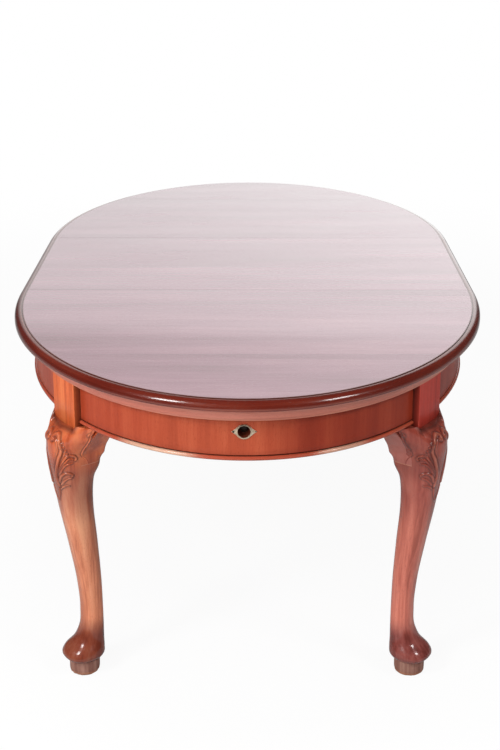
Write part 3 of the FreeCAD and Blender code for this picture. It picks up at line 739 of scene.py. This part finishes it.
def drawWing(z, degrees, out, side):  # one row of the leg: the knee's side drawn out to an edge
    reach, grow = edgeAt(z, "edges"), softStep(z, wing["bottom"], wing["grown"])
    start = wing["bodyTurn"] - wing["bodyMoves"] * softStep(z, *wing["moved"])
    edge, post = wing["edgeTurn"], wing["edges"][0]
    for sign in (1, -1):
        turn = degrees * sign
        order = np.argsort(turn)
        bodyOut, bodySide = (np.interp(start, turn[order], line[order]) for line in (out, side * sign))
        endOut = blend(np.interp(edge, turn[order], out[order]), edgeAt(z, "outs"), grow)
        bend = (bodyOut * 0.94, (bodySide + reach) / 2 + 0.001)
        t = (turn - start) / (edge - start)
        on = (t > 0) & (t <= 1)
        t = t[on][:, None]
        drawn = (1 - t) ** 2 * (bodyOut, bodySide) + 2 * t * (1 - t) * bend + t**2 * (endOut, reach)
        out[on] = blend(out[on], drawn[:, 0], grow)
        side[on] = blend(side[on], sign * drawn[:, 1], grow)
        behind = (turn > edge) & (turn < wing["backTurn"])
        back = np.clip((turn[behind] - edge) / wing["backSpan"], 0, 1)
        out[behind] = blend(out[behind], endOut - wing["step"] - wing["backOut"] * back, grow)
        side[behind] = blend(side[behind], sign * (reach + (post - reach) * back), grow)


def legShape():
    shape = Shape()
    turns = stretches((0, 60, 86, 100, 126), (48, 14, 21, 8))
    front = np.radians(np.concatenate([-turns[:0:-1], turns]))
    angles = np.concatenate([front, np.radians(np.linspace(132, 228, 17))])
    degrees = np.degrees(angles)
    heights = stretches((0.036, 0.11, 0.412, 0.588), (26, 60, 123))
    centre, deep, wide = (row[:, None] for row in legSection(heights))
    swell = swellAt(heights[:, None], (degrees + 180) % 360 - 180)
    out = centre + deep * squared(np.cos(angles)) - swell
    side = wide * squared(np.sin(angles)) + np.sign(np.sin(angles)) * swell
    high = heights[:, None] + 0 * out
    for i in np.flatnonzero(heights > wing["bottom"]):
        drawWing(heights[i], degrees, out[i], side[i])

    # the wing's upper edge climbs on to the bead
    lift = softStep(high, 0.566, 0.588) * softStep(abs(side), 0.0435, 0.05)
    high += lift * (wing["top"] - legPlace["blockBottom"])

    # the carving stands on the surface
    u = np.concatenate([np.zeros((len(heights), 1)), np.cumsum(np.hypot(np.diff(out), np.diff(side)), 1)], 1)
    u -= u[:, [np.argmin(abs(angles))]]
    relief, ground = kneeCarving(u, high)
    for sign in (1, -1):  # a raised line along the side edge, with a curl at its top
        edge = int(np.argmin(abs(degrees - wing["edgeTurn"] * sign)))
        away = np.hypot(out - out[:, [edge]], side - side[:, [edge]])
        shown = softStep(high, 0.503, 0.51) * softStep(0.598 - high, 0.0, 0.006) * (degrees * sign > 0)
        line, groove = hump(away, 0.0016, 0.0012), hump(away, 0.0046, 0.0013)
        curl, ring = strand(np.hypot(away - 0.0062, high - 0.5845), 0.0042)
        relief = relief + shown * (0.0014 * line + 0.0016 * curl - 0.0007 * groove)
        ground = np.maximum(ground, shown * np.maximum(0.9 * groove, 0.8 * ring))
    onFront = abs(degrees) <= wing["edgeTurn"] + 0.01
    relief, ground = relief * onFront, ground * onFront
    places = legToRoom(out, side, high)
    normal = np.cross(np.roll(places, -1, 1) - np.roll(places, 1, 1), np.gradient(places, axis=0))
    normal /= np.linalg.norm(normal, axis=-1, keepdims=True) + 1e-12
    middle = legToRoom(centre, 0, heights[:, None])
    normal *= np.sign(((places - middle) * normal).sum(-1, keepdims=True))
    places = places + normal * relief[..., None]
    grain = stacked(high, side, out - 0.6 * centre)
    # painted shade in the crease where the knee meets the block, carried in the dirt mask
    crease = softStep(high, 0.58, 0.588) * softStep(0.06 - abs(side), 0.0, 0.012)
    ground = np.clip(np.maximum(ground, crease), 0, 1) * 0.8
    # the carving's crests paler: wear, and a painted highlight on the raised lines
    wear = np.clip(relief * 260, 0, 1) * 0.8
    shape.grid(places, grain, wear, ground, capped=True)
    return shape


def boxShape(rings, grainShift=0.0, wider=0.0, crease=None):  # rings of out low, out high, half side, height
    cut, rows = 0.0012, []
    for low, high, half, z in rings:
        middle, left = crease or (low + high) / 2, -half - wider
        corners = [(high, left + cut), (high, half - cut), (high - cut, half), (middle, half),
                   (low + cut, half), (low, half - cut), (low, left + cut), (low + cut, left),
                   (middle, left), (high - cut, left)]
        rows.append([(*corner, z) for corner in corners])
    out, side, high = np.moveaxis(np.array(rows), -1, 0)
    # the block's sides darken back from the front edge: dirt and painted shade
    dirt = np.array([0, 0, 0.5, 1, 1, 0, 0, 1, 1, 0.5]) * bool(crease)
    shape = Shape()
    grain = stacked(high + grainShift, side, out)
    shape.grid(legToRoom(out, side, high), grain, 0.3, dirt, capped=True)
    return shape


def wholeLeg():  # the cabriole and its carving, then the squared post and block
    half, face, back, cove = legPlace["block"]
    shape = legShape()
    carvedFaces = len(shape.faces)
    blockRings = [(back, face - 0.001, half - 0.001, 0.588), (back, face, half, 0.5892),
                  (back, face, half, 0.64), (back, face, half, 0.6874), (back, cove, half, 0.6876),
                  (back, cove, half, 0.717)]
    shape.joined(boxShape(blockRings, 0.4, 0.005, -0.004))
    shape.joined(boxShape([(-0.036, -0.02, 0.031, 0.53), (-0.049, -0.018, 0.04, 0.556),
                           (-0.056, -0.014, 0.0425, 0.574), (back, -0.014, 0.043, 0.5885)], 0.1))
    return shape, carvedFaces


legForm, carvedFaces = wholeLeg()
for end, body, yFlip in ends:
    for (side, xFlip), paints in zip(sides, ([legPaint, blockPaint], [redderShadedLegPaint, redderShadedBlockPaint])):
        legCopy = legForm.copied((xFlip, yFlip, 1), 0.31 * xFlip + 0.17 * yFlip)
        legCopy.build(f"{end}_{side}_leg", body, "leg_wood", paints, sharp=40, secondFrom=carvedFaces)
print("legs made")


# ears behind the knees, glued to the leg and up to the bead

ear = {"grown": 0.528, "rows": 33, "step": 0.0012, "corner": 0.005, "inside": 0.03,
       "shares": np.array([0.0, 0.15, 0.3, 0.45, 0.6, 0.72, 0.82, 0.88, 0.92, 0.95, 0.975, 0.99, 1.0]),
       "heights": (0.505, 0.515, 0.53, 0.545, 0.599),
       "backs": (0.052, 0.055, 0.056, 0.056, 0.056), "flares": (0.005, 0.006, 0.006, 0.005, 0.003)}


def earShape():  # rows up the ear, each from behind the knee's edge round the side to the back
    rows, share = [], ear["shares"]
    for z in np.linspace(wing["bottom"], wing["top"], ear["rows"]):
        front, reach = edgeAt(z, "outs") - 0.0015, edgeAt(z, "edges") - ear["step"]
        back, flare = (curve(ear["heights"], ear[key], z) for key in ("backs", "flares"))
        out = front + (-back - front) * share
        corner = np.clip(ear["corner"] - (out + back), 0, ear["corner"])
        sawn = reach + flare * share**2 - ear["corner"] + np.sqrt(ear["corner"] ** 2 - corner**2)
        bodyOut, bodySide = swollenSection(z)
        leg = np.interp(out, bodyOut[::-1], bodySide[::-1]) + 0.0004
        side = leg + np.maximum(sawn - leg, 0) * softStep(z, wing["bottom"], ear["grown"])
        outer, within = stacked(out, side, z), ear["inside"]
        rows.append([(front - 0.008, within, z), *outer, (-back, within - 0.01, z)])
    out, side, high = np.moveaxis(np.array(rows), -1, 0)
    rim = softStep(wing["bottom"] + 0.0035 - high, 0.0, 0.003)
    shape = Shape()
    for sign in (1, -1):
        grain = stacked(high + 0.3 * sign, side, out)
        shape.grid(legToRoom(out, side * sign, high), grain, 0.1 + rim, capped=True)
    return shape


earForm = earShape()
for end, body, yFlip in ends:
    pair = Shape()
    for side, xFlip in sides:
        pair.joined(earForm.copied((xFlip, yFlip, 1), 0.2 * xFlip))
    pair.build(end + "_knee_ears", body, "leg_wood", [legPaint, litRightEarPaint], sharp=30,
               secondFrom=len(pair.faces) // 2)


# worn discs under the feet

disc = {"out": -0.014, "radius": 0.033, "points": 72, "ragged": 0.0007, "chip": 0.0035, "rings": (
    (0, 0.03, 1, 1, 0.8), (0.0022, 0.0318, 0.8, 1, 0.5), (0.006, 0.0326, 0.35, 0.6, 0.2),
    (0.012, 0.0329, 0.1, 0.2, 0), (0.022, 0.033, 0, 0, 0), (0.033, 0.033, 0, 0, 0),
    (0.0355, 0.0322, 0, 0.3, 0.4), (0.036, 0.03, 0, 0.4, 0.8))}


def discShape(seed):  # its rings: height, radius, ragged share, wear and dirt
    turn = circle(disc["points"])
    ragged = np.random.default_rng(seed).normal(0, 1, disc["points"])
    ragged = ragged * 0.6 + np.roll(ragged, 1) * 0.4 + np.sin(turn * 3 + seed) * 0.8
    z, radius, bite, worn, dirt = np.array(disc["rings"]).T[..., None]
    radius = radius + disc["ragged"] * bite * ragged
    high = z + np.clip(ragged - 0.9, 0, 2) * disc["chip"] * bite
    places = legToRoom(disc["out"] + radius * np.cos(turn), radius * np.sin(turn), high)
    shape = Shape()
    shape.grid(places, stacked(high, turn * disc["radius"], 0) + seed, worn, dirt, capped=True)
    return shape


for number, (end, body, yFlip) in enumerate(ends):
    discs = Shape()
    for side, xFlip in sides:
        discs.joined(discShape(3 + 2 * number + xFlip).copied((xFlip, yFlip, 1)))
    discs.build(end + "_foot_discs", body, "disc_wood", [discPaint], sharp=45)
print("ears and discs made")


# brass escutcheon round the winder's hole, and its two pins

plate = {"face": -0.9154, "ring": 0.0155, "tip": 0.0248, "lean": 0.62, "neck": 0.0149,
         "fillet": 0.0008, "pinOut": 0.0205, "pinSeat": 0.0012,
         "rings": ((0, 0.0125, 0), (0, 0.0125, 0.86), (0, 0.0128, 1), (0, 0.0142, 0.98),
                   (0, 0.0151, 0.8), (0, 0.0155, 0.52), (0.9, 0.0155, 0.48), (1, 0.0155, 0.36),
                   (1, 0.0155, 0)),
         "pinRings": ((0.0021, -0.0006), (0.0021, 0.0002), (0.0018, 0.0006), (0.001, 0.0009),
                      (0.0003, 0.001))}


def roundAxis(radius, turn, along, aside=0.0):  # places round the winder's axis
    x, z = apron["holeX"] + aside + radius * np.cos(turn), apron["holeZ"] + radius * np.sin(turn)
    return stacked(x, along, z)


def escutcheonShape():  # its rings: the share of the way out to the ears, a radius and a lift
    turn = circle(180)
    c, s, lean, soft = abs(np.cos(turn)), abs(np.sin(turn)), plate["lean"], plate["fillet"]
    ears = np.minimum((0.003 + plate["tip"] * lean) / (s + (lean + 0.12) * c), plate["tip"])
    ears = np.where(c > 0.574, ears, plate["neck"] - (0.574 - c) * 0.02)
    outer = np.minimum(soft * np.logaddexp(plate["ring"] / soft, ears / soft), plate["tip"])
    deep = apron["seat"] - plate["face"]
    rows = [roundAxis(radius + (outer - plate["ring"]) * share, turn, apron["seat"] - deep * lift)
            for share, radius, lift in plate["rings"]]
    shape = Shape()
    shape.grid(rows, rows, closed=True)
    return shape


escutcheonShape().build("escutcheon", "crank_end", "brass", [brassPaint], sharp=28)
for node, side, flip, paint in (("escutcheon_pins", "Left", -1, darkScrewPaint),
                                (None, "Right", 1, brassPaint)):
    rows = [roundAxis(radius, circle(24), plate["face"] + plate["pinSeat"] - lift, flip * plate["pinOut"])
            for radius, lift in plate["pinRings"]]
    pin = Shape()
    pin.grid(rows, rows, capped=True)
    pin.build(node, "crank_end", "brass", [paint], "escutcheonPin" + side)
print("escutcheon made")


# winding screw: square end for the handle, journal, shoulder and thread

screw = {"front": -0.8883, "squareLength": 0.013, "squareHalf": 0.006, "chamfer": 0.0008, "journal": 0.009,
         "shoulder": -0.8545, "end": 0.3555, "crest": 0.011, "root": 0.0093, "pitch": 0.008, "perTurn": 24,
         "threadShares": np.array([0.0, 0.25, 0.35, 0.75, 0.85, 1.0]),
         "threadHeights": np.array([0, 0, 1, 1, 0, 0])}


def screwShape():
    shape = Shape()
    half, cut = screw["squareHalf"], screw["chamfer"]
    lean, reach = atan2(half - cut, half), hypot(half, half - cut)
    octagon = np.array([corner * pi / 2 + side * lean for corner in range(4) for side in (-1, 1)])
    rows = [roundAxis(reach * size, octagon, screw["front"] + along)
            for along, size in ((0.0, 0.86), (cut, 1.0), (screw["squareLength"], 1.0))]
    shape.grid(rows, rows, capped=True)

    def turned(profile):  # rings of (place along the screw, radius)
        rings = [roundAxis(radius, circle(screw["perTurn"]), along) for along, radius in profile]
        return shape.grid(rings, rings)

    square, shoulder = screw["front"] + screw["squareLength"], screw["shoulder"]
    start, stop = shoulder + 0.005, screw["end"] - 0.001
    journal, crest, root = screw["journal"], screw["crest"], screw["root"]
    front = turned([(square, journal - 0.0006), (square + 0.0006, journal), (shoulder, journal),
                    (shoulder, crest), (start - 0.001, crest), (start, root)])
    shape.cap(front[0])
    shape.cap(turned([(stop, root), (screw["end"], root - 0.001)])[-1])
    length = (stop - start) / screw["pitch"]
    step = np.arange((ceil(length) + 1) * screw["perTurn"] + 1)[:, None]
    turn = step / screw["perTurn"]
    shown = softStep(turn, 1.0, 1.5) * (1 - softStep(turn, length - 1.6, length - 1.1))
    radius = root + (crest - root) * screw["threadHeights"] * shown
    along = np.clip(start + screw["pitch"] * (turn - 1 + screw["threadShares"]), start, stop)
    places = roundAxis(radius, 2 * pi * (step % screw["perTurn"]) / screw["perTurn"], along)
    shape.grid(places, places, round=False)
    return shape


screwShape().build("winding_screw", "winding_screw", "steel", [ironPaint], sharp=30)
print("winding screw made")


# frame nodes that keep their own shape

keptPaints = {
    runnerPaint: [side + tier + "_runner" for side, _ in sides for tier in ("_outer", "_middle", "_inner")],
    railPaint: ("front_cross_rail", "rear_cross_rail", "front_glue_blocks", "rear_glue_blocks",
                "bearing_block", "tube_block"),
    ironPaint: ("screw_bearing", "tube_flange", "tube_nut", "screw_tube", "screw_collar"),
    steelPaint: ("outer_runner_screws", "inner_runner_screws", "bearing_screws", "flange_screws"),
}
for paint, names in keptPaints.items():
    for name in names:
        for place in cadNodes[name].material_slots:
            place.material = paint
        if paint in (runnerPaint, railPaint):
            softened = cadNodes[name].modifiers.new("softened", "BEVEL")
            softened.width, softened.segments, softened.limit_method = 0.0015, 2, "ANGLE"
print("frame nodes finished")


# studio: pale floor, soft lamps and the camera

studio = {"ambient": 0.37, "backdrop": 0.3, "floorGlow": 0.92, "whiteBeyond": (1.9, 4.2), "paper": 0.45,
          "seenPaper": 0.97, "wallLeft": 0.64, "wallRight": 0.46, "wallWhite": 0.96, "wallDark": 0.04}
white = (1.0, 1.0, 1.0)


def seenDirectly(rays):  # by the camera, also through glass
    return (rays.output("Is Camera Ray") + rays.output("Is Transmission Ray")).clamped()


floor = Paint("paleFloor")
rays, ground = floor.node("LightPath"), floor.node("NewGeometry")
spot = floor.parts(ground)
behind = spot["Y"].between(1.0, 2.2) * (1.0 - abs(spot["X"]).between(1.0, 1.8))
away = floor.node("VectorMath", {"operation": "LENGTH"}, {0: ground}, "Value")
glowShare = away.between(*studio["whiteBeyond"]) * (1.0 - studio["floorGlow"]) + studio["floorGlow"]
tone = seenDirectly(rays) * (studio["seenPaper"] - studio["paper"]) + studio["paper"]
grey = floor.node("CombineXYZ", {}, {0: tone, 1: tone, 2: tone})
paper = floor.node("BsdfDiffuse", {}, {"Color": grey})
glow = floor.node("Emission", {}, {"Color": white, "Strength": 1.0})
floorGlow = (seenDirectly(rays) + rays.output("Is Glossy Ray") * behind) * glowShare
floor.finish(floor.node("MixShader", {}, {0: floorGlow, 1: paper, 2: glow}))
floorMesh = bpy.data.meshes.new("floor")
corners = [(x, y, -0.0004) for x, y in ((-12, -12), (12, -12), (12, 12), (-12, 12))]
floorMesh.from_pydata(corners, [], [(0, 1, 2, 3)])
floorMesh.materials.append(floor.block)
stood("floor", floorMesh)

room = Paint("room", bpy.data.worlds)  # a white backdrop behind the table, a dimmer room before it
rays = room.node("LightPath")
x, y, z = room.parts(room.node("TexCoord")).values()
low = 1.0 - z.between(0.44, 0.58)
narrow = 1.0 - abs(x).between(0.24, 0.46)
wallTone = x.between(-0.22, 0.22) * studio["wallRight"] + studio["wallLeft"]
paperWall = y.between(0.3, 0.6) * low * narrow * wallTone
lit = y.between(0.0, 0.6) * low * studio["backdrop"] + studio["ambient"]
unseen = lit + (paperWall * studio["wallWhite"] + studio["wallDark"] - lit) * rays.output("Is Glossy Ray")
strength = unseen + (1.0 - unseen) * seenDirectly(rays)
backdrop = room.node("Background", {}, {"Color": white, "Strength": strength})
scene.world = room.finish(backdrop, "OutputWorld")


def softbox(name, place, target, size, watts, mirrored=True):
    lamp = bpy.data.lights.new(name, "AREA")
    lamp.shape, lamp.size, lamp.size_y, lamp.energy = "RECTANGLE", *size, watts
    holder = stood(name, lamp)
    holder.location, holder.visible_glossy = place, mirrored
    x, y, z = np.array(place) - np.array(target)
    holder.rotation_euler = (atan2(hypot(x, y), z), 0.0, atan2(y, x) + pi / 2)


softbox("leftSoftbox", (-2.2, -2.6, 1.9), (0, -0.6, 0.5), (0.7, 1.3), 13, False)
softbox("leftGleam", (-2.1, -2.5, 2.8), (-0.2, -0.8, 0.7), (0.8, 0.9), 46)  # high enough to miss the flat top
softbox("rightGleam", (2.4, -2.2, 2.8), (0.2, -0.8, 0.7), (0.9, 0.7), 30)
softbox("frontSoftbox", (-1.5, -4.0, 2.0), (-0.1, -0.6, 0.4), (1.6, 1.2), 52, False)
softbox("overheadSoftbox", (0.0, 0.2, 3.4), (0, 0, 0.7), (2.0, 2.0), 22, False)
softbox("rearSoftbox", (0.3, 3.6, 1.4), (0, 0, 0.8), (3.6, 1.5), 7)

shot = {"place": (0.0133, -3.2837, 1.6703), "turn": (90 - 16.45, 0.0, 0.143), "sensor": 36.0, "lens": 64.157,
        "shiftY": -0.1324, "clip": 60.0}
camera = stood("camera", bpy.data.cameras.new("camera"))
camera.location = shot["place"]
camera.rotation_euler = [radians(x) for x in shot["turn"]]
lens = camera.data
lens.sensor_width, lens.lens = shot["sensor"], shot["lens"]
lens.shift_y, lens.clip_end = shot["shiftY"], shot["clip"]
scene.camera = camera
scene.view_settings.view_transform = "Standard"
print("studio made")
